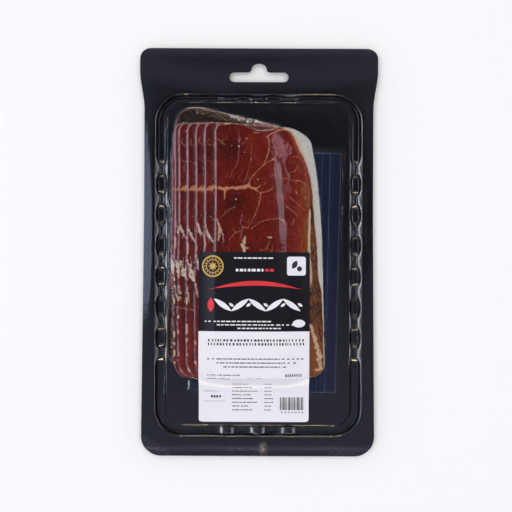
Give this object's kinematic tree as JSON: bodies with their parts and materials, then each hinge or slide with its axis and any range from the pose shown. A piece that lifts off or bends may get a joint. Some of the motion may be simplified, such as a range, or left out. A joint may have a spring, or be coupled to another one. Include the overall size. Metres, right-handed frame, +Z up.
{
  "type": "sliced serrano ham pack",
  "caption": "Flat black thermoformed tray with a euro-slot hanging flap, fanned slices of cured ham on blue separator sheets, a clear lid film and a paper label.",
  "frame": {"origin": "middle of the pack's footprint, on the surface that it lies on", "axes": "+Z up out of the film side, +Y towards the hanging flap, +X to the right of the pack as read from the film side"},
  "size_m": [0.14, 0.24, 0.0143],
  "materials": {
    "tray_black": "glossy black thermoformed sheet",
    "separator_blue": "thin translucent blue sheet",
    "ham_meat": "moist cured meat with cream fat and thin pale veins",
    "ham_rind": "dark brown rind with straw-coloured fat",
    "film_clear": "clear glossy lid film",
    "label_paper": "coated label paper, black field above and white field below"
  },
  "bodies": {
    "root": {"tray": "tray_black", "separator_sheet_1": "separator_blue", "separator_sheet_2": "separator_blue", "separator_sheet_3": "separator_blue", "ham_slice_1": "ham_meat", "ham_slice_2": "ham_meat", "ham_slice_3": "ham_meat", "ham_slice_4": "ham_meat", "ham_slice_5": "ham_meat", "ham_slice_6": "ham_meat", "ham_slice_7": "ham_rind", "lid_film": "film_clear", "label": "label_paper"}
  },
  "joints": []
}
